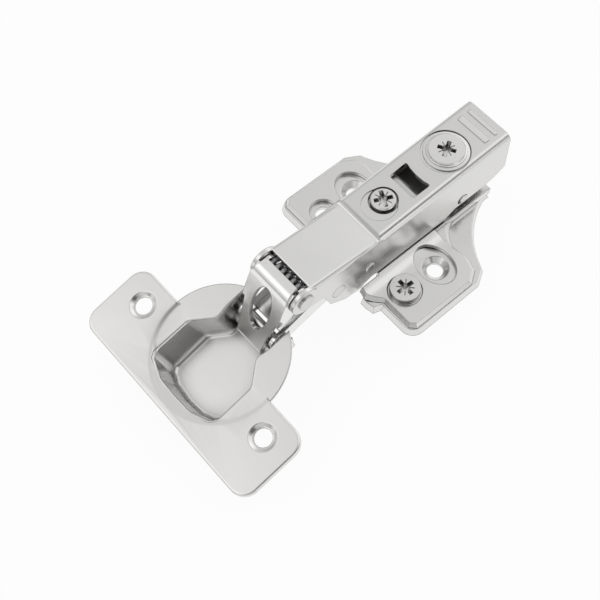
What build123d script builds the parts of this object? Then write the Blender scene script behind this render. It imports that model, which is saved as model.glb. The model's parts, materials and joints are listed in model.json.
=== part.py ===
from build123d import *
from math import asin, atan2, cos, degrees, hypot, radians, sin
import os

os.makedirs("parts", exist_ok=True)

# Concealed cup hinge with a sliding mounting plate and a clip-on arm.
# +X runs towards the tail of the arm, +Z away from the cabinet side.
# The origin lies midway between the two plate screws, on the plate's back face.

# ---------------------------------------------------------------- driving dimensions
press_sheet = 1.2            # sheet of the arm, links and adapter
plate_sheet = 1.2            # sheet of both mounting plate layers
running = 0.05               # radial clearance of a pin in its bore
slide_gap = 0.05             # clearance between the two plate layers
far = 60                     # reach of a cut that runs out of a piece

# cup and its flange
cup_x = -59.83               # cup centre, in the side view
cup_z = 7.435
cup_tilt = 14.335            # the door flange leans by this much when the hinge is open
cup_body_r = 17.5            # fits a 35 mm drilling
cup_rim_r = 18.44
cup_depth = 12.0             # from flange face to the outside of the floor
cup_wall = 1.0
flange_t = 1.3
flange_front = 20.3          # from cup centre to the long edge
flange_rear = 1.2
flange_half = 32.7
flange_corner_r = 4.6
flange_edge_round = 0.6
rim_recess = 0.6             # how far the round rim lies below the wings
rim_step = 1.6               # width of the sloping step round the rim
door_screw_x = -6.0
door_screw_y = 24.0
door_hole_r = 2.4
door_dish_r = 3.7
door_dish_depth = 0.65
slot_half = 8.4              # slot in the cup for the links
floor_end = 12.6             # the floor stops here, so the links can swing out
floor_round = 1.3            # round between the pocket's walls and its floor
pocket_corner_r = 2.4

# pivots, in the side view (x, z), and the cup pins from the cup centre
front_pivot = (-37.9, 18.6)
link_pivot = (-27.0, 11.0)
outer_cup_pin_at = (9.93, -8.23)
inner_cup_pin_at = (12.74, -5.5)
cup_pin_r = 1.25
arm_pin_r = 1.5

# arm
arm_half = 8.1
arm_front_roof = (-35.9, 22.17)
arm_step_x = -12.45
arm_front_drop = 1.3         # the front roof lies this much lower at the slit
arm_rear_x = 32.4
arm_roof_z = 21.15           # top of the rear roof at the slit
arm_roof_rise = 1.7          # gained towards the tail
arm_joggle = 0.75            # run of the step between the two roofs
arm_nose_r = 4.25
arm_bend_rear = 2.2
arm_bend_front = 1.5
arm_skirt_z = 5.2            # lower edge over the mounting plate
arm_tail_z = 6.95            # lower edge behind the rear pin
depth_travel = 2.0
height_travel = 1.5

stop_pin_at = (-16.37, 10.93)
rear_pin_at = (16.9, 9.05)
stop_pin_r = 1.5
rear_pin_r = 1.4
rivet_proud = 0.35           # how far a rivet end stands out of the arm
sunk_head_r = 2.1            # head of the link pin, flush in the arm's side
sunk_head_depth = 0.6

# screws in the roof
side_screw_x = -5.06
side_head_r = 3.35
side_head_top = 22.05
side_thread_r = 2.5
side_neck_r = 1.6
side_hole_r = 3.9
side_dish_r = 4.7
side_dish_at = (-6.7, -0.35)
window_corner_r = 0.55
depth_cam_x = 16.95
depth_head_r = 4.965
depth_head_h = 1.24562       # head above the floor of its dish
depth_flange_r = 6.0         # flange under the roof
depth_neck_r = 5.25          # neck in the roof's hole
depth_collar_r = 6.2         # collar in the roof's dish
depth_step_r = 5.35
depth_dish_r = 6.6
depth_throw = 2.61           # eccentric pin from the cam's axis
depth_pin_r = 1.8
dish_depth = 0.4
seat_gap = 0.03              # between the collar and its dish

# adapter inside the arm
adapter_half = 5.8
adapter_web_top = 16.1
adapter_front = -12.6
adapter_rear = 29.0

# cross slots of the three adjusting screws
recess_reach = 2.5
recess_width = 1.15
mark_width = 0.22
mark_depth = 0.25

# mounting plate
screw_spacing = 32.0
plate_hole_r = 2.2
base_deck = 2.05
base_taper = 20.0
height_taper = 38.0
hump_rise = 1.0
hump_half = 8.7              # flat top of the raised centre
hump_run = 3.7               # width of each sloping side
hump_bend = 11.0             # bend along the top and the foot of each sloping side
hump_end = 7.0               # the sloping sides end here, the tail is square
tail_x = 27.3
tail_half = 8.7
dish_r = 3.65                # countersink of a screw hole, down to dish_low
dish_low = 0.75
plate_dish_r = 4.95
cam_at = (-11.1, 16.1)
cam_head_r = 4.05
cam_hole_r = 4.6
cam_throw = 1.958
cam_pin_r = 1.6
cam_top = 5.0
cam_swing_middle = 1.61      # middle and half of the pin's run along the plate
cam_swing = 0.6
spare_hole_r = 3.9
spare_base_hole_r = 2.2
notch_half = 8.5             # front notch, the arm's nose walls drop into it
notch_x = -13.4
layer_setback = 0.2          # the base layer's notch is this much larger
base_window_x = (-8.0, 22.0)
base_window_half = 6.2
latch_hole = (18.2, 21.4)
guide_rivet_x = (-9.8, 24.0)
guide_rivet_r = 1.1
guide_foot_r = 1.6           # end under the base layer
guide_foot_t = 0.6
guide_head_r = 1.9           # head on the raised centre
guide_head_t = 0.7

# release lever
lever_pin_at = (22.5, 8.5)
lever_pin_r = 1.2
lever_boss_r = 2.0
lever_spring_x = 27.0
lever_spring_r = 1.5
lever_wire_r = 0.3

# torsion spring
spring_mean_r = 2.35
spring_wire_r = 0.68
spring_pitch = 1.86
spring_whole_turns = 5
spring_start = -60           # degrees from straight up, towards the arm's tail

# ---------------------------------------------------------------- worked out from them
height_bottom = base_deck + slide_gap
height_deck = height_bottom + plate_sheet
hump_top = height_deck + hump_rise
hump_foot = hump_half + hump_run
hollow_foot = hump_foot + 0.3                # under the height plate, clear of the base layer's bends
hollow_half = hump_half - 0.1

cup_x_dir = (cos(radians(cup_tilt)), 0, sin(radians(cup_tilt)))
cup_normal = (-sin(radians(cup_tilt)), 0, cos(radians(cup_tilt)))
cup_plane = Plane(origin=(cup_x, 0, cup_z), x_dir=cup_x_dir, z_dir=cup_normal)
cup_side = Plane(origin=(cup_x, 0, cup_z), x_dir=cup_x_dir, z_dir=(0, -1, 0))


def in_cup(along, height):
    """Side-view position of a point given from the cup centre."""
    x = cup_x + along * cup_x_dir[0] + height * cup_normal[0]
    z = cup_z + along * cup_x_dir[2] + height * cup_normal[2]
    return (x, z)


outer_cup_pin = in_cup(*outer_cup_pin_at)
inner_cup_pin = in_cup(*inner_cup_pin_at)


def finish(piece, node):
    """Name a finished piece and write it."""
    piece.part.label = node
    export_step(piece.part, "parts/" + node + ".step")


def side_plane(y):
    """The side view, x to the right and z up, at a given y."""
    return Plane(origin=(0, y, 0), x_dir=(1, 0, 0), z_dir=(0, -1, 0))


def both_sides(points):
    """A half outline with y above zero, closed by its mirror image."""
    return points + [(x, -y) for x, y in reversed(points) if y]


def both_edges(points):
    """A half outline with x above zero, closed by its mirror image."""
    return points + [(-x, y) for x, y in reversed(points)]


def cross_recess(top, depth, turn):
    """Cross slot for a driver with four fine marks between its arms, sunk from a height and turned."""
    with BuildPart() as recess:
        with BuildSketch(Plane.XY.offset(top)):
            Rectangle(2 * recess_reach, recess_width, rotation=turn)
            Rectangle(recess_width, 2 * recess_reach, rotation=turn)
            Rectangle(0.95 * recess_reach, 0.95 * recess_reach, rotation=turn + 45)
        extrude(amount=-depth, taper=10)
        with BuildSketch(Plane.XY.offset(top)):
            Rectangle(1.9 * recess_reach, mark_width, rotation=turn + 45)
            Rectangle(mark_width, 1.9 * recess_reach, rotation=turn + 45)
        extrude(amount=-mark_depth)
    return recess.part


# ---------------------------------------------------------------- base plate
# half outlines run from the tail to the front
rear_curve = ((25.2, tail_half), (14.7, 15.9), (9.9, 24.2))
base_rim = [
    (9.9, 24.2), (5.6, 26.8), (-18.6, 27.0), (-18.6, 15.2), (-20.7, 14.6), (-21.15, 12.3), (-21.15, 0),
]
base_corners = [(25.2, tail_half, 2.0), (9.9, 24.2, 2.0), (5.6, 26.8, 2.0), (-18.6, 27.0, 3.8)]


def round_corners(sketch, corners):
    """Round the outline's corners at each (x, y) and (x, -y) by the radius given with them."""
    for x, y, radius in corners:
        here = sketch.vertices().filter_by(lambda v: abs(v.X - x) < 0.01 and abs(abs(v.Y) - y) < 0.01)
        fillet(here, radius)


def base_outline(inset):
    """Rim of the base plate, moved inwards by the inset."""
    with BuildSketch() as rim:
        with BuildLine():
            Polyline((tail_x, 0), (tail_x, tail_half), rear_curve[0])
            ThreePointArc(*rear_curve)
            Polyline(*base_rim)
            mirror(about=Plane.XZ)
        make_face()
        round_corners(rim, base_corners)
        if inset:
            offset(amount=-inset, kind=Kind.INTERSECTION)
    return rim.sketch


def over_hump(foot, top_half, low, end):
    """All that lies above a plate layer whose raised centre ends at the given x."""
    reach = 40
    top = 10
    high = low + hump_rise
    with BuildPart() as over:
        with BuildSketch(Plane.YZ.offset(end)) as section:
            with BuildLine():
                Polyline((-reach, low), (-foot, low), (-top_half, high), (top_half, high), (foot, low),
                         (reach, low), (reach, top), (-reach, top), close=True)
            make_face()
            fillet(section.vertices().filter_by(lambda v: abs(v.X) < reach - 1 and v.Y < high + 1), hump_bend)
        extrude(amount=-reach)
        with BuildSketch(Plane.XY.offset(low)):
            with Locations((end + reach / 2, 0)):
                Rectangle(reach, 2 * reach)
        extrude(amount=top - low)
    return over.part


base_foot = hump_foot - height_travel - 0.45
base_top_half = hump_half - height_travel - 0.45
base_top = base_deck + hump_rise
base_inner_step = plate_sheet / cos(radians(base_taper))

with BuildPart() as base_hollow:
    with BuildSketch():
        add(base_outline(base_inner_step))
    extrude(amount=base_top, taper=base_taper)
    add(over_hump(base_foot, base_top_half, base_deck - plate_sheet, hump_end - plate_sheet),
        mode=Mode.SUBTRACT)

with BuildPart() as base_plate:
    with BuildSketch():
        add(base_outline(0))
    extrude(amount=base_top, taper=base_taper)
    add(over_hump(base_foot, base_top_half, base_deck, hump_end), mode=Mode.SUBTRACT)
    add(base_hollow.part, mode=Mode.SUBTRACT)
    # dishes for the two wood screws
    with Locations((0, screw_spacing / 2), (0, -screw_spacing / 2)):
        Cylinder(plate_dish_r, base_deck, align=(Align.CENTER, Align.CENTER, Align.MIN))
    with Locations((0, screw_spacing / 2, dish_low), (0, -screw_spacing / 2, dish_low)):
        Cone(plate_hole_r, dish_r, base_deck - dish_low, mode=Mode.SUBTRACT,
             align=(Align.CENTER, Align.CENTER, Align.MIN))
    with Locations((0, screw_spacing / 2), (0, -screw_spacing / 2)):
        Hole(plate_hole_r)
    # front notch for the nose walls of the arm and open centre under the adapter
    with BuildSketch():
        with Locations(((notch_x + layer_setback - far) / 2, 0)):
            Rectangle(far + notch_x + layer_setback, 2 * (notch_half + height_travel + layer_setback))
        with Locations((notch_x + 0.9, 0)):
            Rectangle(1.8, 2 * (adapter_half + height_travel + 0.15))
        with Locations(((base_window_x[0] + base_window_x[1]) / 2, 0)):
            Rectangle(base_window_x[1] - base_window_x[0], 2 * base_window_half)
        # slots for the guide rivets, across the plate
        with Locations(*[(x, 0) for x in guide_rivet_x]):
            SlotOverall(2 * (guide_rivet_r + running + height_travel), 2 * (guide_rivet_r + running),
                        rotation=90)
        # slot for the height cam's pin, which swings a little along the plate
        with Locations((cam_at[0] + cam_swing_middle, -cam_at[1])):
            SlotOverall(2 * (cam_pin_r + cam_swing), 2 * (cam_pin_r + 0.1))
        # spare hole in the other wing
        with Locations(cam_at):
            Circle(spare_base_hole_r)
    extrude(amount=far, both=True, mode=Mode.SUBTRACT)
finish(base_plate, "base_plate")

# ---------------------------------------------------------------- height plate
height_curve = ((14.0, tail_half), (10.0, 10.9), (8.0, 14.6))
height_rim = [
    (8.0, 14.6), (8.4, 20.0), (7.2, 23.6), (3.6, 26.0), (-15.8, 26.0), (-17.4, 24.4), (-17.4, 14.8),
    (-20.9, 11.0), (-20.9, 0),
]
height_corners = [(14.0, tail_half, 2.0), (8.0, 14.6, 1.0)]

with BuildPart() as height_plate:
    with BuildSketch(Plane.XY.offset(height_bottom)) as height_form:
        with BuildLine():
            Polyline((tail_x, 0), (tail_x, tail_half), height_curve[0])
            ThreePointArc(*height_curve)
            Polyline(*height_rim)
            mirror(about=Plane.XZ)
        make_face()
        round_corners(height_form, height_corners)
    extrude(amount=hump_top - height_bottom, taper=height_taper)
    add(over_hump(hump_foot, hump_half, height_deck, hump_end), mode=Mode.SUBTRACT)
    # square tail
    with BuildSketch(Plane.XY.offset(height_bottom)):
        with Locations(((hump_end + tail_x) / 2, 0)):
            Rectangle(tail_x - hump_end, 2 * tail_half)
    extrude(amount=hump_top - height_bottom)
    # hollow under the raised centre
    with BuildSketch(Plane.YZ.offset(hump_end)):
        with BuildLine():
            Polyline((-hollow_foot, height_bottom - 1), (-hollow_foot, height_bottom),
                     (-hollow_half, hump_top - plate_sheet), (hollow_half, hump_top - plate_sheet),
                     (hollow_foot, height_bottom), (hollow_foot, height_bottom - 1), close=True)
        make_face()
    extrude(amount=-far, mode=Mode.SUBTRACT)
    with BuildSketch(Plane.XY.offset(height_bottom)):
        with Locations(((hump_end + tail_x) / 2, 0)):
            Rectangle(tail_x - hump_end + 2, 2 * (tail_half - plate_sheet))
    extrude(amount=hump_rise, mode=Mode.SUBTRACT)
    # openings
    with BuildSketch(Plane.XY):
        with Locations(((notch_x - far) / 2, 0)):
            Rectangle(far + notch_x, 2 * notch_half)
        with Locations(((latch_hole[0] + latch_hole[1]) / 2, 0)):
            Rectangle(latch_hole[1] - latch_hole[0], 6.8)
        with Locations((0, screw_spacing / 2 - 0.3), (0, -screw_spacing / 2 + 0.3)):
            Ellipse(4.9, 6.4)
        with Locations((cam_at[0], -cam_at[1])):
            Circle(cam_hole_r)
        with Locations(cam_at):
            Circle(spare_hole_r)
        with Locations(*[(x, 0) for x in guide_rivet_x]):
            Circle(guide_rivet_r)
    extrude(amount=10, mode=Mode.SUBTRACT)
finish(height_plate, "height_plate")

# ---------------------------------------------------------------- guide rivets
with BuildPart() as guide_rivets:
    for x in guide_rivet_x:
        layer_top = base_deck + (hump_rise if x < hump_end else 0)
        foot_top = layer_top - plate_sheet - slide_gap
        with Locations((x, 0, foot_top)):
            Cylinder(guide_rivet_r, hump_top - foot_top, align=(Align.CENTER, Align.CENTER, Align.MIN))
        with Locations((x, 0, foot_top - guide_foot_t)):
            Cylinder(guide_foot_r, guide_foot_t, align=(Align.CENTER, Align.CENTER, Align.MIN))
        with Locations((x, 0, hump_top)):
            Cylinder(guide_head_r, guide_head_t, align=(Align.CENTER, Align.CENTER, Align.MIN))
finish(guide_rivets, "guide_rivets")

# ---------------------------------------------------------------- height cam screw
with BuildPart() as height_cam_screw:
    with Locations((cam_at[0], -cam_at[1], base_deck + 0.45)):
        Cylinder(cam_hole_r - 0.06, height_deck - base_deck - 0.75,
                 align=(Align.CENTER, Align.CENTER, Align.MIN))
        Cylinder(cam_head_r, cam_top - base_deck - 0.45, align=(Align.CENTER, Align.CENTER, Align.MIN))
    with Locations((cam_at[0] + cam_throw, -cam_at[1], 0.3)):
        Cylinder(cam_pin_r, base_deck + 0.45 - 0.3, align=(Align.CENTER, Align.CENTER, Align.MIN))
    with Locations((cam_at[0], -cam_at[1], 0)):
        add(cross_recess(cam_top, 1.8, -2), mode=Mode.SUBTRACT)
finish(height_cam_screw, "height_cam_screw")

# ---------------------------------------------------------------- clip adapter
web_bottom = adapter_web_top - press_sheet
hook_low = base_deck - 0.3                   # the front hook reaches this far down
with BuildPart() as clip_adapter:
    with BuildSketch(Plane.XZ):
        with BuildLine():
            Polyline((adapter_front, hump_top), (notch_x - slide_gap, hump_top),
                     (notch_x - slide_gap, hook_low + press_sheet), (notch_x + 1.3, height_deck - 0.28),
                     (notch_x + 1.3, hook_low), (notch_x - 1.1, hook_low), (notch_x - 1.1, hump_top + 2.7),
                     (notch_x + 4.4, adapter_web_top), (adapter_rear, adapter_web_top),
                     (adapter_rear, hump_top + 7.2), (adapter_rear - 3.5, hump_top), close=True)
        make_face()
    extrude(amount=adapter_half, both=True)
    with BuildSketch(Plane.XZ):
        with Locations((0, web_bottom - far / 2)):
            Rectangle(2 * far, far)
    extrude(amount=adapter_half - press_sheet, both=True, mode=Mode.SUBTRACT)
    with BuildSketch(Plane.XY.offset(adapter_web_top)):
        # the side screw's neck slides along this slot, its foot drops in at the front end
        with Locations((side_screw_x, 0)):
            SlotCenterToCenter(2 * depth_travel + 0.6, 2 * (side_neck_r + 0.2))
        # the depth cam's pin works in this slot across the web
        with Locations((depth_cam_x, 2.15)):
            SlotOverall(2 * (depth_pin_r + 0.3) + 0.95, 2 * (depth_pin_r + 0.3), rotation=90)
    extrude(amount=-press_sheet, mode=Mode.SUBTRACT)
    with BuildSketch(Plane.XZ):
        # the rear pin slides along this slot
        with Locations(rear_pin_at):
            SlotOverall(2 * (rear_pin_r + running + depth_travel), 2 * (rear_pin_r + running))
        with Locations(lever_pin_at):
            Circle(lever_pin_r)
    extrude(amount=far, both=True, mode=Mode.SUBTRACT)
finish(clip_adapter, "clip_adapter")

# ---------------------------------------------------------------- release lever, pin, spring
with BuildPart() as release_lever:
    with BuildSketch(Plane.XZ):
        with Locations(lever_pin_at):
            Circle(lever_boss_r)
        with BuildLine():
            Polyline((23.4, 7.0), (20.5, 4.8), (20.0, 2.0), (17.3, 2.0), (17.3, 3.0), (18.7, 3.0),
                     (19.0, 5.2), (20.9, 8.0), close=True)
        make_face()
        with BuildLine():
            Polyline((22.5, 10.4), (30.6, 10.6), (31.6, 8.2), (30.9, 7.7), (29.9, 9.3), (22.5, 9.2),
                     close=True)
        make_face()
        with Locations(lever_pin_at):
            Circle(lever_pin_r + running, mode=Mode.SUBTRACT)
    extrude(amount=3.1, both=True)
finish(release_lever, "release_lever")

with BuildPart() as lever_pin:
    with BuildSketch(Plane.XZ):
        with Locations(lever_pin_at):
            Circle(lever_pin_r)
    extrude(amount=adapter_half + 0.1, both=True)
finish(lever_pin, "lever_pin")

lever_spring_low = 10.85
lever_spring_height = web_bottom - lever_spring_low
with BuildPart() as lever_spring:
    with BuildLine():
        lever_coil = Helix(pitch=(lever_spring_height - 2 * lever_wire_r) / 4,
                           height=lever_spring_height - 2 * lever_wire_r, radius=lever_spring_r,
                           center=(lever_spring_x, 0, lever_spring_low + lever_wire_r))
    with BuildSketch(Plane(origin=lever_coil @ 0, z_dir=lever_coil % 0)):
        Circle(lever_wire_r)
    sweep(is_frenet=True)
finish(lever_spring, "lever_spring")

# ---------------------------------------------------------------- rear pin
with BuildPart() as rear_pin:
    with BuildSketch(Plane.XZ):
        with Locations(rear_pin_at):
            Circle(rear_pin_r)
    extrude(amount=arm_half + rivet_proud, both=True)
    chamfer(rear_pin.edges().filter_by(GeomType.CIRCLE), 0.25)
finish(rear_pin, "rear_pin")

# ---------------------------------------------------------------- hinge arm
arm_inner = arm_half - press_sheet
roof_slope = arm_roof_rise / (arm_rear_x - arm_step_x)
front_roof_z = arm_roof_z - arm_front_drop
joggle_x = arm_step_x - arm_joggle
joggle_inner = 0.58 * press_sheet            # the inside of the step lies this much further back
skirt = [
    (arm_rear_x, arm_tail_z + 2.35), (arm_rear_x - 3.4, arm_tail_z + 0.95), (arm_rear_x - 7.4, arm_tail_z),
    (rear_pin_at[0] - 2.9, arm_tail_z), (rear_pin_at[0] - 5.9, arm_skirt_z),
    (-15.6, arm_skirt_z), (-16.85, 4.8), (-19.6, 3.2), (-24.8, 4.1), (-29.7, 7.4), (-32.0, 13.55),
    (-33.35, 14.1), (-36.6, 14.5),
]


def roof_z(x):
    """Top of the raised rear roof."""
    return arm_roof_z + roof_slope * (x - arm_step_x)


with BuildPart() as arm_front_form:
    with BuildSketch(Plane.XZ):
        with BuildLine():
            Polyline(*[p for p in skirt if arm_front_roof[0] < p[0] < -15], (arm_front_roof[0], 14.3),
                     arm_front_roof, (joggle_x, front_roof_z), (arm_step_x, front_roof_z),
                     (arm_step_x, arm_skirt_z), close=True)
        make_face()
    extrude(amount=arm_half, both=True)
    roof_middle = (joggle_x + arm_front_roof[0]) / 2
    roof_edges = arm_front_form.edges().filter_by(
        lambda e: abs(e.center().Y) > arm_half - 0.1 and abs(e.center().X - roof_middle) < 0.6)
    fillet(roof_edges.filter_by(lambda e: e.center().Z > 20), arm_bend_front)
    # nose walls round the front pin
    with BuildSketch(Plane.XZ):
        with BuildLine():
            Polyline((arm_front_roof[0] + 0.5, 14.2), (-36.6, 14.5), (front_pivot[0], 14.6),
                     (front_pivot[0], front_pivot[1] + arm_nose_r), (arm_front_roof[0], 21.2),
                     (arm_front_roof[0] + 0.5, 20.5), close=True)
        make_face()
        with Locations(front_pivot):
            Circle(arm_nose_r)
    extrude(amount=arm_half, both=True)

with BuildPart() as arm_rear_form:
    with BuildSketch(Plane.XZ):
        with BuildLine():
            Polyline((joggle_x - 1, roof_z(joggle_x - 1)), (arm_rear_x, roof_z(arm_rear_x)),
                     *[p for p in skirt if p[0] > -15], (joggle_x - 1, arm_skirt_z), close=True)
        make_face()
    extrude(amount=arm_half, both=True)
    fillet(arm_rear_form.faces().sort_by(Axis.Z)[-1].edges().filter_by(
        lambda e: abs(e.center().Y) > arm_half - 0.1), arm_bend_rear)
    # step down to the front roof
    with BuildSketch(Plane.XZ):
        with BuildLine():
            Polyline((joggle_x - 3, front_roof_z + 0.02), (joggle_x - 0.6, front_roof_z + 0.02),
                     (joggle_x - 0.1, front_roof_z + 0.28), (arm_step_x, roof_z(arm_step_x)),
                     (arm_step_x, arm_roof_z + 3), (joggle_x - 3, arm_roof_z + 3), close=True)
        make_face()
    extrude(amount=arm_half + 1, both=True, mode=Mode.SUBTRACT)

with BuildPart() as hinge_arm:
    add(arm_front_form.part)
    add(arm_rear_form.part)
    # inside of the channel
    with BuildSketch(Plane.XZ):
        with BuildLine():
            Polyline((arm_front_roof[0], arm_front_roof[1] + 2),
                     (arm_front_roof[0], arm_front_roof[1] - press_sheet),
                     (joggle_x + joggle_inner, front_roof_z - press_sheet),
                     (arm_step_x + joggle_inner, arm_roof_z - press_sheet),
                     (arm_rear_x + 1, roof_z(arm_rear_x + 1) - press_sheet),
                     (arm_rear_x + 1, -5), (-far, -5), (-far, arm_front_roof[1] + 2), close=True)
        make_face()
    extrude(amount=arm_inner, both=True, mode=Mode.SUBTRACT)
    # roof window, screw holes and their dishes
    with BuildSketch(Plane.XY.offset(arm_roof_z - 4)):
        with BuildLine():
            Polyline((0.9, -4.7), (0.9, 4.2), (7.0, 4.4), (6.45, 2.4), (6.2, 0), (6.3, -2.6), (6.8, -4.8),
                     close=True)
        make_face()
        fillet(vertices(), window_corner_r)
        with Locations((side_screw_x, 0)):
            Circle(side_hole_r)
        with Locations((depth_cam_x, 0)):
            Circle(depth_neck_r + running)
    extrude(amount=10, mode=Mode.SUBTRACT)
    with BuildSketch(Plane.XY.offset(roof_z(side_screw_x) - dish_depth)):
        with Locations(side_dish_at):
            Circle(side_dish_r)
    extrude(amount=5, mode=Mode.SUBTRACT)
    with BuildSketch(Plane.XY.offset(roof_z(depth_cam_x) - dish_depth)):
        with Locations((depth_cam_x - 0.3, 0)):
            Circle(depth_dish_r)
    extrude(amount=5, mode=Mode.SUBTRACT)
    # pressed ribs near the tail
    for x, length in ((arm_rear_x - 5.7, 1.9), (arm_rear_x - 2.5, 1.2)):
        with BuildSketch(Plane.XY.offset(roof_z(x) - 0.5)):
            with Locations((x, 0)):
                RectangleRounded(length, 10.2, 0.35)
        extrude(amount=0.7)
    # pin holes
    with BuildSketch(Plane.XZ):
        with Locations(front_pivot, link_pivot):
            Circle(arm_pin_r)
        with Locations(stop_pin_at):
            Circle(stop_pin_r)
        with Locations(rear_pin_at):
            Circle(rear_pin_r + running)
    extrude(amount=far, both=True, mode=Mode.SUBTRACT)
    # relief beside the rear pin
    for side in (1, -1):
        with BuildSketch(side_plane(side * arm_half)):
            with Locations((rear_pin_at[0] - 0.2, rear_pin_at[1])):
                SlotOverall(2 * rear_pin_r + 0.6, 2 * rear_pin_r + 0.2)
        extrude(amount=side * 0.5, mode=Mode.SUBTRACT)
    for side in (1, -1):
        with BuildSketch(side_plane(side * arm_half)):
            with Locations(link_pivot):
                Circle(sunk_head_r)
        extrude(amount=side * sunk_head_depth, mode=Mode.SUBTRACT)
finish(hinge_arm, "hinge_arm")


def riveted_pin(at, radius, head_r, head_from, head_to):
    """A pin across the arm with a head at each end."""
    with BuildPart() as pin:
        with BuildSketch(Plane.XZ):
            with Locations(at):
                Circle(radius)
        extrude(amount=head_to, both=True)
        for side in (1, -1):
            with BuildSketch(side_plane(side * head_to)):
                with Locations(at):
                    Circle(head_r)
            extrude(amount=side * (head_to - head_from))
    return pin


front_pin = riveted_pin(front_pivot, arm_pin_r, 2.3, arm_half, arm_half + 0.55)
finish(front_pin, "front_pin")
link_pin = riveted_pin(link_pivot, arm_pin_r, sunk_head_r - 0.04, arm_half - sunk_head_depth, arm_half)
finish(link_pin, "link_pin")

with BuildPart() as spring_stop_pin:
    with BuildSketch(Plane.XZ):
        with Locations(stop_pin_at):
            Circle(stop_pin_r)
    extrude(amount=arm_half + rivet_proud, both=True)
    chamfer(spring_stop_pin.edges().filter_by(GeomType.CIRCLE), 0.25)
finish(spring_stop_pin, "spring_stop_pin")

# ---------------------------------------------------------------- side screw and its nut
nut_top = 19.5
nut_bottom = 17.7
nut_front = -9.3
nut_rear = 4.4
nut_lip = 17.1               # the bent rear edge of the nut plate ends here
with BuildPart() as side_screw_nut:
    with BuildSketch(Plane.XZ):
        with BuildLine():
            nut_bend = TangentArc((nut_rear - 1.8, nut_top), (nut_rear, nut_top - 1.8), tangent=(1, 0))
            Polyline(nut_bend @ 1, (nut_rear, nut_lip), (nut_rear - press_sheet, nut_lip),
                     (nut_rear - press_sheet, nut_bottom), (nut_front, nut_bottom), (nut_front, nut_top),
                     nut_bend @ 0)
        make_face()
    extrude(amount=arm_inner, both=True)
    with Locations((side_screw_x, 0, nut_bottom)):
        Cylinder(side_thread_r, 10, mode=Mode.SUBTRACT)
finish(side_screw_nut, "side_screw_nut")

foot_gap = 0.7
with BuildPart() as side_adjust_screw:
    with BuildSketch(Plane.XZ):
        with BuildLine():
            Polyline((0, web_bottom - foot_gap - 1.1), (2.5, web_bottom - foot_gap - 1.1),
                     (2.5, web_bottom - foot_gap), (side_neck_r, web_bottom - foot_gap),
                     (side_neck_r, adapter_web_top + foot_gap),
                     (side_thread_r - running, adapter_web_top + foot_gap),
                     (side_thread_r - running, nut_top + 0.6), (side_head_r, nut_top + 0.9),
                     (side_head_r, side_head_top - 0.3), (side_head_r - 0.3, side_head_top),
                     (0, side_head_top), close=True)
        make_face()
    revolve(axis=Axis.Z)
    add(cross_recess(side_head_top, 1.8, -26.5), mode=Mode.SUBTRACT)
side_adjust_screw.part.position = (side_screw_x, 0, 0)
finish(side_adjust_screw, "side_adjust_screw")

# ---------------------------------------------------------------- depth cam screw
collar_low = roof_z(depth_cam_x) - dish_depth + seat_gap
depth_head_top = collar_low + depth_head_h
with BuildPart() as depth_cam_screw:
    with BuildSketch(Plane.XZ):
        with BuildLine():
            Polyline((0, 19.6), (depth_flange_r, 19.6), (depth_flange_r, 20.55), (depth_neck_r, 20.55),
                     (depth_neck_r, collar_low), (depth_collar_r, collar_low),
                     (depth_collar_r, collar_low + 0.3),
                     (depth_step_r, collar_low + 0.4), (depth_step_r, depth_head_top - 0.6),
                     (depth_head_r - 0.1, depth_head_top - 0.45), (depth_head_r, depth_head_top - 0.3),
                     (depth_head_r - 0.25, depth_head_top), (0, depth_head_top), close=True)
        make_face()
    revolve(axis=Axis.Z)
    with Locations((0, depth_throw, web_bottom - 0.3)):
        Cylinder(depth_pin_r, 20 - web_bottom, align=(Align.CENTER, Align.CENTER, Align.MIN))
    add(cross_recess(depth_head_top, 2.1, 29), mode=Mode.SUBTRACT)
depth_cam_screw.part.position = (depth_cam_x, 0, 0)
finish(depth_cam_screw, "depth_cam_screw")

# ---------------------------------------------------------------- torsion spring
stop_rest = (stop_pin_at[0], stop_pin_at[1] + 1.08 * (stop_pin_r + spring_wire_r))
stop_reach = hypot(stop_rest[0] - front_pivot[0], stop_rest[1] - front_pivot[1])
# the rear leg leaves the coil on the tangent that meets the stop pin
leg_fall = degrees(atan2(front_pivot[1] - stop_rest[1], stop_rest[0] - front_pivot[0])
                   + asin(spring_mean_r / stop_reach))
spring_turns = spring_whole_turns + (leg_fall - spring_start) / 360
coil_length = spring_turns * spring_pitch
pivot_axis = Axis((front_pivot[0], 0, front_pivot[1]), (0, 1, 0))


def round_pivot(angle, y):
    """Point on the coil, and its heading, at an angle from straight up."""
    a = radians(angle)
    at = Vector(front_pivot[0] + spring_mean_r * sin(a), y, front_pivot[1] + spring_mean_r * cos(a))
    return at, Vector(cos(a), 0, -sin(a))


front_end, front_heading = round_pivot(spring_start, -coil_length / 2)
rear_start, rear_heading = round_pivot(leg_fall, coil_length / 2)
leg_blend = 3.0              # length over which a leg turns straight
pitch_step = Vector(0, 0.12, 0)

with BuildLine() as spring_line:
    coil = Helix(pitch=spring_pitch, height=coil_length, radius=spring_mean_r, mode=Mode.PRIVATE,
                 center=(front_pivot[0], -coil_length / 2, front_pivot[1]), direction=(0, 1, 0))
    coil = coil.rotate(pivot_axis, spring_start).edges()[0]
    add(coil)
    # front leg down inside the outer link
    front_turn = Spline(front_end - front_heading * leg_blend - pitch_step, front_end,
                        tangents=(front_heading, coil % 0))
    Line(front_turn @ 0 - front_heading * 5.0, front_turn @ 0)
    # rear leg on to the stop pin
    rear_turn = Spline(rear_start, rear_start + rear_heading * leg_blend + pitch_step,
                       tangents=(coil % 1, rear_heading))
    Line(rear_turn @ 1, rear_turn @ 1 + rear_heading * (stop_reach - 2.4))

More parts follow.
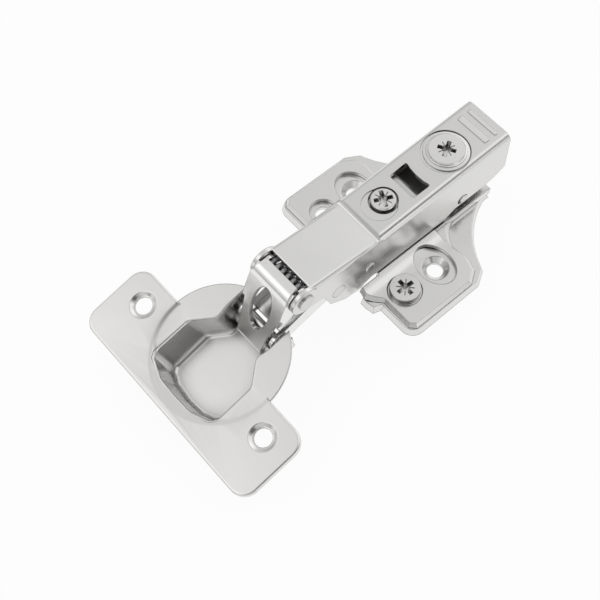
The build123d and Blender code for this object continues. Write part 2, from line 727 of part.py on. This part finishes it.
with BuildPart() as torsion_spring:
    with BuildSketch(Plane(origin=front_turn @ 0 - front_heading * 5.0, z_dir=front_heading)):
        Circle(spring_wire_r)
    sweep(path=spring_line.wires()[0], is_frenet=True)
finish(torsion_spring, "torsion_spring")

# ---------------------------------------------------------------- outer link
knuckle_r = cup_pin_r + running + press_sheet - 0.05
web_top_at = (-43.31, 20.48)
curl_r = 4.0                 # bend over the front pin
lip_length = 1.85            # the lip runs on from the bend
lip_rise = radians(12)
web_rise = (web_top_at[0] - outer_cup_pin[0], web_top_at[1] - outer_cup_pin[1])
web_reach = hypot(*web_rise)
# the web leaves the knuckle on a tangent, which turns it by the lean angle
web_lean = asin(knuckle_r / web_reach)
straight = web_reach * cos(web_lean)
web_angle = atan2(web_rise[1], web_rise[0]) - web_lean
# unit vector along the web, from the knuckle up to the curl, and its outward normal
web_dir = (cos(web_angle), sin(web_angle))
web_out = (-web_dir[1], web_dir[0])


def on_web(along, inward=0.0):
    """A point on the outer link's web, measured up from the knuckle and in from the outer face."""
    x = outer_cup_pin[0] + web_out[0] * (knuckle_r - inward) + web_dir[0] * along
    z = outer_cup_pin[1] + web_out[1] * (knuckle_r - inward) + web_dir[1] * along
    return (x, z)


def past_bend(radius, onward=0.0):
    """The end of the bend over the front pin, at a radius from its axis, and on along the lip."""
    axis = on_web(straight, curl_r)
    x = axis[0] - radius * sin(lip_rise) + onward * cos(lip_rise)
    z = axis[1] + radius * cos(lip_rise) + onward * sin(lip_rise)
    return (x, z)


link_front = Plane(origin=(outer_cup_pin[0], 0, outer_cup_pin[1]), x_dir=(0, -1, 0),
                   z_dir=(web_out[0], 0, web_out[1]))
ear_outer = 6.75
ear_r = 3.0
window_r = (3.3, 7.4)
ear_t = 1.05
with BuildPart() as outer_link:
    with BuildSketch(Plane.XZ):
        with Locations(outer_cup_pin):
            Circle(knuckle_r)
        with BuildLine():
            Polyline(on_web(straight), on_web(0), on_web(0, press_sheet), on_web(straight, press_sheet))
            TangentArc(on_web(straight, press_sheet), past_bend(curl_r - press_sheet), tangent=web_dir)
            Polyline(past_bend(curl_r - press_sheet), past_bend(curl_r - press_sheet, lip_length),
                     past_bend(curl_r, lip_length), past_bend(curl_r))
            TangentArc(on_web(straight), past_bend(curl_r), tangent=web_dir)
        make_face()
    extrude(amount=ear_outer, both=True)
    # the web narrows towards the cup
    with BuildSketch(link_front):
        with BuildLine():
            Polyline(*both_edges([(4.6, -4), (4.6, 0), (5.3, 7.0), (ear_outer, straight - 1.5),
                                  (ear_outer, straight), (5.8, straight + 4.3), (5.8, straight + 12)]),
                     close=True)
        make_face()
    extrude(amount=20, both=True, mode=Mode.INTERSECT)
    # flanges that carry the link on the front pin
    for side in (1, -1):
        with BuildSketch(side_plane(side * ear_outer)):
            with Locations(front_pivot):
                Circle(ear_r)
            with BuildLine():
                Polyline(on_web(straight - 8), on_web(straight), past_bend(curl_r - 0.3), (-38.9, 20.8),
                         (-35.6, 16.8), on_web(straight - 8, 2.6), close=True)
            make_face()
        extrude(amount=side * ear_t)
    with BuildSketch(Plane.XZ):
        with Locations(outer_cup_pin):
            Circle(cup_pin_r + running)
        with Locations(front_pivot):
            Circle(arm_pin_r + running)
    extrude(amount=far, both=True, mode=Mode.SUBTRACT)
    # window
    with BuildSketch(link_front):
        with Locations((0, straight - window_r[1] + 0.2)):
            Ellipse(*window_r)
    extrude(amount=20, mode=Mode.SUBTRACT)
finish(outer_link, "outer_link")

# ---------------------------------------------------------------- inner link
inner_out = 6.7
eye_shift = -0.975           # the rear eye is a slot, since this pivot is the free one
eye_half_run = 0.975
eye_half_height = arm_pin_r + 0.42
link_run = Vector(link_pivot[0] - inner_cup_pin[0], 0, link_pivot[1] - inner_cup_pin[1])
with BuildPart() as inner_link:
    with BuildSketch(Plane.XZ):
        with Locations(inner_cup_pin):
            Circle(cup_pin_r + 1.1)
        with Locations((link_pivot[0] + eye_shift, link_pivot[1] + 0.08)):
            SlotOverall(2 * (eye_half_height + 1.0 + eye_half_run), 2 * (eye_half_height + 1.0))
        with BuildLine():
            Polyline((inner_cup_pin[0] - 0.5, inner_cup_pin[1] - 2.3),
                     (inner_cup_pin[0] + 0.2, inner_cup_pin[1] + 2.3),
                     (link_pivot[0] - 2.0, link_pivot[1] + 2.6), (link_pivot[0] - 0.2, link_pivot[1] - 2.5),
                     close=True)
        make_face()
    extrude(amount=inner_out, both=True)
    with BuildSketch(Plane.XZ):
        with Locations((link_pivot[0] - 10, link_pivot[1] - 2)):
            Rectangle(far, far)
        with BuildLine():
            Polyline((-43.6, 3.45), (-43.6, 4.7), (-32.6, 8.1), (-32.6, 6.75), close=True)
        make_face(mode=Mode.SUBTRACT)
    extrude(amount=inner_out - press_sheet, both=True, mode=Mode.SUBTRACT)
    with BuildSketch(Plane.XZ):
        with Locations(inner_cup_pin):
            Circle(cup_pin_r + running)
        with Locations((link_pivot[0] + eye_shift, link_pivot[1] + 0.08)):
            SlotOverall(2 * (eye_half_height + eye_half_run), 2 * eye_half_height)
    extrude(amount=far, both=True, mode=Mode.SUBTRACT)
finish(inner_link, "inner_link")

# ---------------------------------------------------------------- hinge cup
# half outlines of the sunk pocket, from the cup centre, at its mouth, below the mouth's bend and at the floor
pocket_mouth = [
    (-15.9, 0), (-15.7, 6.0), (-13.4, 11.7), (-11.4, 13.0), (0.0, 12.9), (6.0, 7.7), (9.5, slot_half),
]
pocket_neck = [(-15.1, 0), (-14.9, 5.7), (-12.8, 11.1), (-11.0, 12.2), (-0.2, 12.1), (5.8, 7.3), (9.5, 7.9)]
pocket_floor = [(-14.2, 0), (-13.7, 5.4), (-12.4, 8.6), (-10.5, 10.1), (1.2, 10.4), (6.2, 6.3), (9.5, 7.1)]
inner_floor = -(cup_depth - cup_wall)


def between(share, one, other):
    """A pocket outline this share of the way from one to the other."""
    return [(a[0] + share * (b[0] - a[0]), a[1] + share * (b[1] - a[1])) for a, b in zip(one, other)]


def pocket(levels, end_x, corner_r=0.0):
    """Ruled solid through pocket outlines at the given heights and insets, its slot run out to end_x."""
    with BuildPart() as hollow:
        for height, half, inset in levels:
            with BuildSketch(cup_plane.offset(height)) as outline:
                with BuildLine():
                    Polyline(*both_sides(half + [(end_x, half[-1][1])]), close=True)
                make_face()
                if corner_r:
                    fillet(outline.vertices().filter_by(lambda v: v.X < 8 and abs(v.Y) > 4), corner_r)
                if inset:
                    offset(amount=-inset)
        loft(ruled=True)
    return hollow.part


def widened(half):
    """A pocket outline moved out by the wall."""
    return [(x - cup_wall if x < -10 else x, y + cup_wall if y else 0) for x, y in half]


# the mouth is rolled over, the walls run down straight, and a round leads into the floor
neck_h = -1.9
pocket_levels = [(0.2, pocket_mouth, 0), (-rim_recess, pocket_mouth, 0)]
for height, share in ((-0.75, 0.45), (-1.1, 0.8), (neck_h, 1.0)):
    pocket_levels.append((height, between(share, pocket_mouth, pocket_neck), 0))
for angle in (0, 25, 50, 70, 90):
    height = inner_floor + floor_round * (1 - sin(radians(angle)))
    share = (height - neck_h) / (inner_floor - neck_h)
    inset = floor_round * (1 - cos(radians(angle)))
    pocket_levels.append((height, between(share, pocket_neck, pocket_floor), inset))

with BuildPart() as cup_body:
    add(pocket([(-0.9, widened(pocket_neck), 0), (-1.9, widened(pocket_neck), 0),
                (-cup_depth, widened(pocket_floor), 0)], 17.3))
    with BuildSketch(cup_plane):
        Circle(cup_body_r)
    extrude(amount=-cup_depth, mode=Mode.INTERSECT)

with BuildPart() as hinge_cup:
    with BuildSketch(cup_plane):
        with Locations(((flange_rear - flange_front) / 2, 0)):
            Rectangle(flange_front + flange_rear, 2 * flange_half)
        fillet(vertices(), flange_corner_r)
    extrude(amount=-flange_t)
    flange_top = faces().filter_by(lambda f: f.normal_at().dot(Vector(*cup_normal)) > 0.99)
    fillet(flange_top.edges(), flange_edge_round)
    # sloping step round the sunk rim
    with BuildSketch(cup_plane):
        Circle(cup_rim_r + 0.16)
    with BuildSketch(cup_plane.offset(-rim_recess)):
        Circle(cup_rim_r + 0.16 - rim_step)
    loft(mode=Mode.SUBTRACT)
    with BuildSketch(cup_plane.offset(-flange_t)):
        Circle(cup_rim_r)
    extrude(amount=flange_t - rim_recess)
    add(cup_body.part)
    add(pocket(pocket_levels, 22, pocket_corner_r), mode=Mode.SUBTRACT)
    # open end of the floor
    with BuildSketch(cup_plane.offset(inner_floor + 0.05)):
        with Locations((floor_end + 5, 0)):
            Rectangle(10, 14.2)
    extrude(amount=-3, mode=Mode.SUBTRACT)
    # holes for the two cup pins
    with BuildSketch(cup_side):
        with Locations(outer_cup_pin_at, inner_cup_pin_at):
            Circle(cup_pin_r)
    extrude(amount=far, both=True, mode=Mode.SUBTRACT)
    # screw holes in the wings
    for side in (1, -1):
        with BuildSketch(cup_plane):
            with Locations((door_screw_x, side * door_screw_y)):
                Circle(door_dish_r)
        with BuildSketch(cup_plane.offset(-door_dish_depth)):
            with Locations((door_screw_x, side * door_screw_y)):
                Circle(door_hole_r + 0.35)
        loft(mode=Mode.SUBTRACT)
        with BuildSketch(cup_plane):
            with Locations((door_screw_x, side * door_screw_y)):
                Circle(door_hole_r)
        extrude(amount=-flange_t, mode=Mode.SUBTRACT)
finish(hinge_cup, "hinge_cup")

# ---------------------------------------------------------------- cup pins
for node, at in (("outer_link_cup_pin", outer_cup_pin), ("inner_link_cup_pin", inner_cup_pin)):
    with BuildPart() as cup_pin:
        with BuildSketch(Plane.XZ):
            with Locations(at):
                Circle(cup_pin_r)
        extrude(amount=9.4, both=True)
    finish(cup_pin, node)
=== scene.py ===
import bpy
import json
from math import sin, cos, radians
from mathutils import Vector, Matrix


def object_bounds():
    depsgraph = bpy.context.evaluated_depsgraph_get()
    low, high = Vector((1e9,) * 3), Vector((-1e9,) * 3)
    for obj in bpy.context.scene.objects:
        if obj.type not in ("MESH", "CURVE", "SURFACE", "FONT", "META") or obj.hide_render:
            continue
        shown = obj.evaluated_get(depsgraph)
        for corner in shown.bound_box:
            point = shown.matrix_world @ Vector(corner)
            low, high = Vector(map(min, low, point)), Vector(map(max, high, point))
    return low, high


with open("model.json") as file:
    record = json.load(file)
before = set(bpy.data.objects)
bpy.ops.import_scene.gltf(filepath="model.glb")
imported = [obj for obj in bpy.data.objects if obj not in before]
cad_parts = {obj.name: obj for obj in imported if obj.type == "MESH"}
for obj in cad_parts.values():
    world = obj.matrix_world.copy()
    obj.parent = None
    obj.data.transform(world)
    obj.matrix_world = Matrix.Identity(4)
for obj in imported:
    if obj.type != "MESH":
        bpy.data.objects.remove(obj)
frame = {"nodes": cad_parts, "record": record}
cad_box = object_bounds()

MM = 0.001

# ---------------------------------------------------------------- camera
CAMERA_AZIMUTH = -38.729        # degrees
CAMERA_ELEVATION = 61.916
CAMERA_ROLL = -2.171
CAMERA_SHIFT = (-28.898 * MM, -24.787 * MM)      # sideways and up, square to the view
CAMERA_DISTANCE = 312.035 * MM
CAMERA_TARGET = Vector((5, 0, 8)) * MM
CAMERA_LENS = 70.595            # millimetres
CAMERA_SENSOR = 36
CAMERA_CLIP = 0.01


def camera_at(azimuth, elevation, roll, shift, distance, target):
    """A camera looking at target from azimuth and elevation, turned by roll, moved to the side by shift."""
    a, e, r = radians(azimuth), radians(elevation), radians(roll)
    back = Vector((sin(a) * cos(e), -cos(a) * cos(e), sin(e)))
    right = Vector((cos(a), sin(a), 0))
    up = back.cross(right)
    right, up = right * cos(r) + up * sin(r), up * cos(r) - right * sin(r)
    place = target + right * shift[0] + up * shift[1] + back * distance
    turn = Matrix((right, up, back)).transposed().to_4x4()
    return Matrix.Translation(place) @ turn


lens_data = bpy.data.cameras.new("photo_camera")
lens_data.sensor_width = CAMERA_SENSOR
lens_data.lens = CAMERA_LENS
lens_data.clip_start = CAMERA_CLIP
camera = bpy.data.objects.new("photo_camera", lens_data)
bpy.context.scene.collection.objects.link(camera)
camera.matrix_world = camera_at(CAMERA_AZIMUTH, CAMERA_ELEVATION, CAMERA_ROLL, CAMERA_SHIFT,
                                CAMERA_DISTANCE, CAMERA_TARGET)
bpy.context.scene.camera = camera

# ---------------------------------------------------------------- smooth rounds, crisp edges
WELD_WITHIN = 0.002 * MM
CRISP_FROM = radians(24)        # edges sharper than this stay crisp
FLATS_WEIGHT = 80               # how strongly the large flats lead the shading


def even_shading(obj):
    """Shade a piece's rounds smoothly and its flats flat; its edges are softened in its material."""
    weld = obj.modifiers.new("weld", "WELD")
    weld.merge_threshold = WELD_WITHIN
    split = obj.modifiers.new("crisp edges", "EDGE_SPLIT")
    split.split_angle = CRISP_FROM
    normals = obj.modifiers.new("normals", "WEIGHTED_NORMAL")
    normals.weight = FLATS_WEIGHT
    for face in obj.data.polygons:
        face.use_smooth = True


for node in frame["nodes"].values():
    even_shading(node)


# ---------------------------------------------------------------- node trees
class Nodes:
    """Short hand for building a node tree."""

    def __init__(self, tree):
        self.tree = tree

    def add(self, kind, **inputs):
        """A node with some of its inputs set; an underscore stands for a space in an input's name."""
        node = self.tree.nodes.new(kind)
        for key, value in inputs.items():
            node.inputs[key.replace("_", " ")].default_value = value
        return node

    def link(self, source, target):
        self.tree.links.new(source, target)

    def math(self, operation, first, second):
        """A Math node on a socket, and a number or another socket."""
        node = self.tree.nodes.new("ShaderNodeMath")
        node.operation = operation
        self.link(first, node.inputs[0])
        if isinstance(second, (int, float)):
            node.inputs[1].default_value = second
        else:
            self.link(second, node.inputs[1])
        return node.outputs["Value"]

    def dot(self, first, second):
        """The dot product of a socket, and a direction or another socket."""
        node = self.tree.nodes.new("ShaderNodeVectorMath")
        node.operation = "DOT_PRODUCT"
        self.link(first, node.inputs[0])
        if isinstance(second, Vector):
            node.inputs[1].default_value = second
        else:
            self.link(second, node.inputs[1])
        return node.outputs["Value"]

    def mapped(self, value, low, high, to_low, to_high, smooth=False):
        """A value taken from one range to another."""
        node = self.add("ShaderNodeMapRange", From_Min=low, From_Max=high, To_Min=to_low, To_Max=to_high)
        if smooth:
            node.interpolation_type = "SMOOTHSTEP"
        self.link(value, node.inputs["Value"])
        return node.outputs["Result"]

    def noise(self, place, scale, detail, roughness=0.5):
        node = self.add("ShaderNodeTexNoise", Scale=scale, Detail=detail, Roughness=roughness)
        self.link(place, node.inputs["Vector"])
        return node.outputs["Fac"]

    def mixed(self, share, first, second):
        """A colour between two others, each a colour or a socket."""
        node = self.tree.nodes.new("ShaderNodeMixRGB")
        self.link(share, node.inputs["Fac"])
        for name, value in (("Color1", first), ("Color2", second)):
            if isinstance(value, tuple):
                node.inputs[name].default_value = (*value, 1)
            else:
                self.link(value, node.inputs[name])
        return node.outputs["Color"]


def new_material(name):
    """An empty material, the short hand for its tree, and its shader."""
    material = bpy.data.materials.new(name)
    material.use_nodes = True
    return material, Nodes(material.node_tree), material.node_tree.nodes["Principled BSDF"]


# ---------------------------------------------------------------- plated metal
PATCH_SCALE = 140.0             # tarnish patches, per metre
FINE_SCALE = 700.0              # small changes of roughness
WAVE_SCALE = 260.0              # waviness of the pressed sheet
WAVE_HEIGHT = 0.0002            # metres, times the waviness
TARNISH = 0.02                  # how far the patches are lighter and darker
WAVINESS = 0.025
ROUGHNESS_SPREAD = (0.92, 1.1)
PAINTED_SHADE_KEEPS = 0.16                    # share of the plating's brightness kept in the painted shade of corners and edges
DEEP_SHARE = 0.1                # open share of the surroundings, deep in a corner
EDGE_FLAT, EDGE_FULL = 0.99, 0.86        # how far the rounded normal turns from the flat one
EDGE_SHADE = 0.6                 # share of painted shade on an edge
CORNER_SAMPLES = 12
EDGE_SAMPLES = 8


def plated(name, colour, roughness, corner_shade=0.6, reach=1.2, edge=0.2, open_share=0.7):
    """Nickel plating on pressed steel: faint tarnish patches, fine roughness changes, a soft waviness of
    the pressed sheet, small rounds of radius edge with painted shade along them, and painted shade where
    the surface lies deep in a corner, looking as far as reach. Lengths are in millimetres."""
    material, tree, shader = new_material(name)
    shader.inputs["Metallic"].default_value = 1.0
    place = tree.add("ShaderNodeTexCoord").outputs["Object"]
    # the darker colour of the painted shade, in corners and along edges
    shade_colour = tuple(c * PAINTED_SHADE_KEEPS for c in colour)
    darker = tuple(c * (1 - TARNISH) for c in colour)
    lighter = tuple(min(1, c * (1 + TARNISH)) for c in colour)
    plating = tree.mixed(tree.noise(place, PATCH_SCALE, 4.0, 0.6), darker, lighter)
    # open faces keep their colour, deep corners are darkened with painted shade
    corner = tree.add("ShaderNodeAmbientOcclusion", Distance=reach * MM)
    corner.samples = CORNER_SAMPLES
    depth = tree.mapped(corner.outputs["AO"], DEEP_SHARE, open_share, corner_shade, 0.0, smooth=True)
    plating = tree.mixed(depth, plating, shade_colour)
    # painted shade darkens the colour along the edges, drawing thin dark outlines
    rounds = tree.add("ShaderNodeBevel", Radius=edge * MM)
    rounds.samples = EDGE_SAMPLES
    turn = tree.dot(rounds.outputs["Normal"], tree.add("ShaderNodeNewGeometry").outputs["Normal"])
    edge_shade = tree.mapped(turn, EDGE_FLAT, EDGE_FULL, 0.0, EDGE_SHADE)
    tree.link(tree.mixed(edge_shade, plating, shade_colour), shader.inputs["Base Color"])
    low, high = (roughness * share for share in ROUGHNESS_SPREAD)
    fine = tree.noise(place, FINE_SCALE, 3.0, 0.6)
    tree.link(tree.mapped(fine, 0.0, 1.0, low, high), shader.inputs["Roughness"])
    bump = tree.add("ShaderNodeBump", Strength=WAVINESS, Distance=WAVE_HEIGHT)
    tree.link(tree.noise(place, WAVE_SCALE, 1.0), bump.inputs["Height"])
    tree.link(rounds.outputs["Normal"], bump.inputs["Normal"])
    tree.link(bump.outputs["Normal"], shader.inputs["Normal"])
    return material


FINISHES = {           # slot: colour, roughness, then what differs from the usual plating
    # the extra values set how dark and how far the painted corner shade goes, and the rounds with their
    # painted edge shade
    "cup_nickel": ((0.755, 0.748, 0.733), 0.25, dict(corner_shade=0.85, reach=8.0, edge=0.4, open_share=0.85)),
    "link_nickel": ((0.82, 0.815, 0.805), 0.2, dict(edge=0.3)),
    "arm_nickel": ((0.72, 0.715, 0.70), 0.26, dict(edge=0.3)),
    "plate_nickel": ((0.74, 0.735, 0.725), 0.22, dict(corner_shade=0.75, reach=2.4, edge=0.42)),
    "inner_steel": ((0.58, 0.575, 0.57), 0.34, dict(corner_shade=0.4)),
    "screw_nickel": ((0.74, 0.735, 0.72), 0.24, dict(corner_shade=0.62, reach=1.6)),
    "rivet_nickel": ((0.68, 0.675, 0.665), 0.28, {}),
    "spring_steel": ((0.36, 0.36, 0.365), 0.5, dict(corner_shade=0.92, reach=0.9, edge=0.05)),
}
materials = {slot: plated(slot, colour, roughness, **rest)
             for slot, (colour, roughness, rest) in FINISHES.items()}
slot_of = {row["node"]: row["material_slot"] for row in frame["record"]["subparts"]}
for node, obj in frame["nodes"].items():
    obj.data.materials.clear()
    obj.data.materials.append(materials[slot_of[node]])

# ---------------------------------------------------------------- floor
FLOOR_SIZE = 3                  # metres
FLOOR_GAP = 0.0002              # below the lowest point of the hinge
FLOOR_COLOUR = (0.95, 0.95, 0.95)
FLOOR_ROUGHNESS = 0.9
SHADOW_SHARE = 0.07             # how much of its shadow the floor shows


def white_to_the_eye(name, colour, shadow_share):
    """A pale surface that the camera, metal and glass see white, with a share of its own shadow."""
    material, tree, shader = new_material(name)
    shader.inputs["Base Color"].default_value = (*colour, 1)
    shader.inputs["Roughness"].default_value = FLOOR_ROUGHNESS
    glow = tree.add("ShaderNodeEmission", Strength=1.0)
    path = tree.add("ShaderNodeLightPath")
    seen_by = tree.math("MAXIMUM", path.outputs["Is Camera Ray"], path.outputs["Is Glossy Ray"])
    seen_by = tree.math("MAXIMUM", seen_by, path.outputs["Is Transmission Ray"])
    mix = tree.add("ShaderNodeMixShader")
    tree.link(tree.math("MULTIPLY", seen_by, 1 - shadow_share), mix.inputs["Fac"])
    tree.link(shader.outputs["BSDF"], mix.inputs[1])
    tree.link(glow.outputs["Emission"], mix.inputs[2])
    tree.link(mix.outputs["Shader"], tree.tree.nodes["Material Output"].inputs["Surface"])
    return material


bpy.ops.mesh.primitive_plane_add(size=FLOOR_SIZE)
floor = bpy.context.object
floor.name = "floor"
floor.location.z = cad_box[0][2] - FLOOR_GAP
floor.data.materials.append(white_to_the_eye("floor_white", FLOOR_COLOUR, SHADOW_SHARE))

# ---------------------------------------------------------------- light
# the room: a pale grey dome with soft lighter and darker fields, seen in the metal
DOME = 0.775                    # brightness of the open dome
WALL = -0.3                     # added to it low down, all round
WALL_FROM, WALL_TO = 0.12, 0.40          # heights, as the sine of the elevation
DARKEST = 0.05
FIELDS = [            # towards, inner and outer edge as cosines, added brightness
    ((0.15, -0.93, 0.28), 0.985, 0.93, 0.9),
    ((0.95, 0.10, 0.35), 0.95, 0.70, 0.5),
    ((-0.66, 0.36, 0.66), 0.97, 0.86, 0.6),
    ((-0.86, 0.37, 0.34), 0.98, 0.91, -0.55),
    ((-0.93, 0.37, 0.00), 0.992, 0.955, 1.0),
    ((-0.29, -0.37, 0.88), 0.96, 0.87, -0.5),
    ((0.12, -0.74, 0.64), 0.965, 0.90, -0.73),
    ((0.30, -0.37, 0.88), 0.985, 0.93, 0.45),
]
world = bpy.data.worlds.new("studio")
world.use_nodes = True
bpy.context.scene.world = world
sky = Nodes(world.node_tree)
way = sky.add("ShaderNodeTexCoord").outputs["Generated"]
height = sky.add("ShaderNodeSeparateXYZ")
sky.link(way, height.inputs["Vector"])
# the far walls are darker, and draw thin dark lines along the rounded edges
room = sky.math("ADD", sky.mapped(height.outputs["Z"], WALL_FROM, WALL_TO, WALL, 0.0, smooth=True), DOME)
for towards, inner, outer, added in FIELDS:
    nearness = sky.dot(way, Vector(towards).normalized())
    room = sky.math("ADD", room, sky.mapped(nearness, outer, inner, 0.0, added, smooth=True))
room = sky.math("MAXIMUM", room, DARKEST)
sky.link(room, world.node_tree.nodes["Background"].inputs["Color"])
bpy.context.scene.view_settings.view_transform = "Standard"
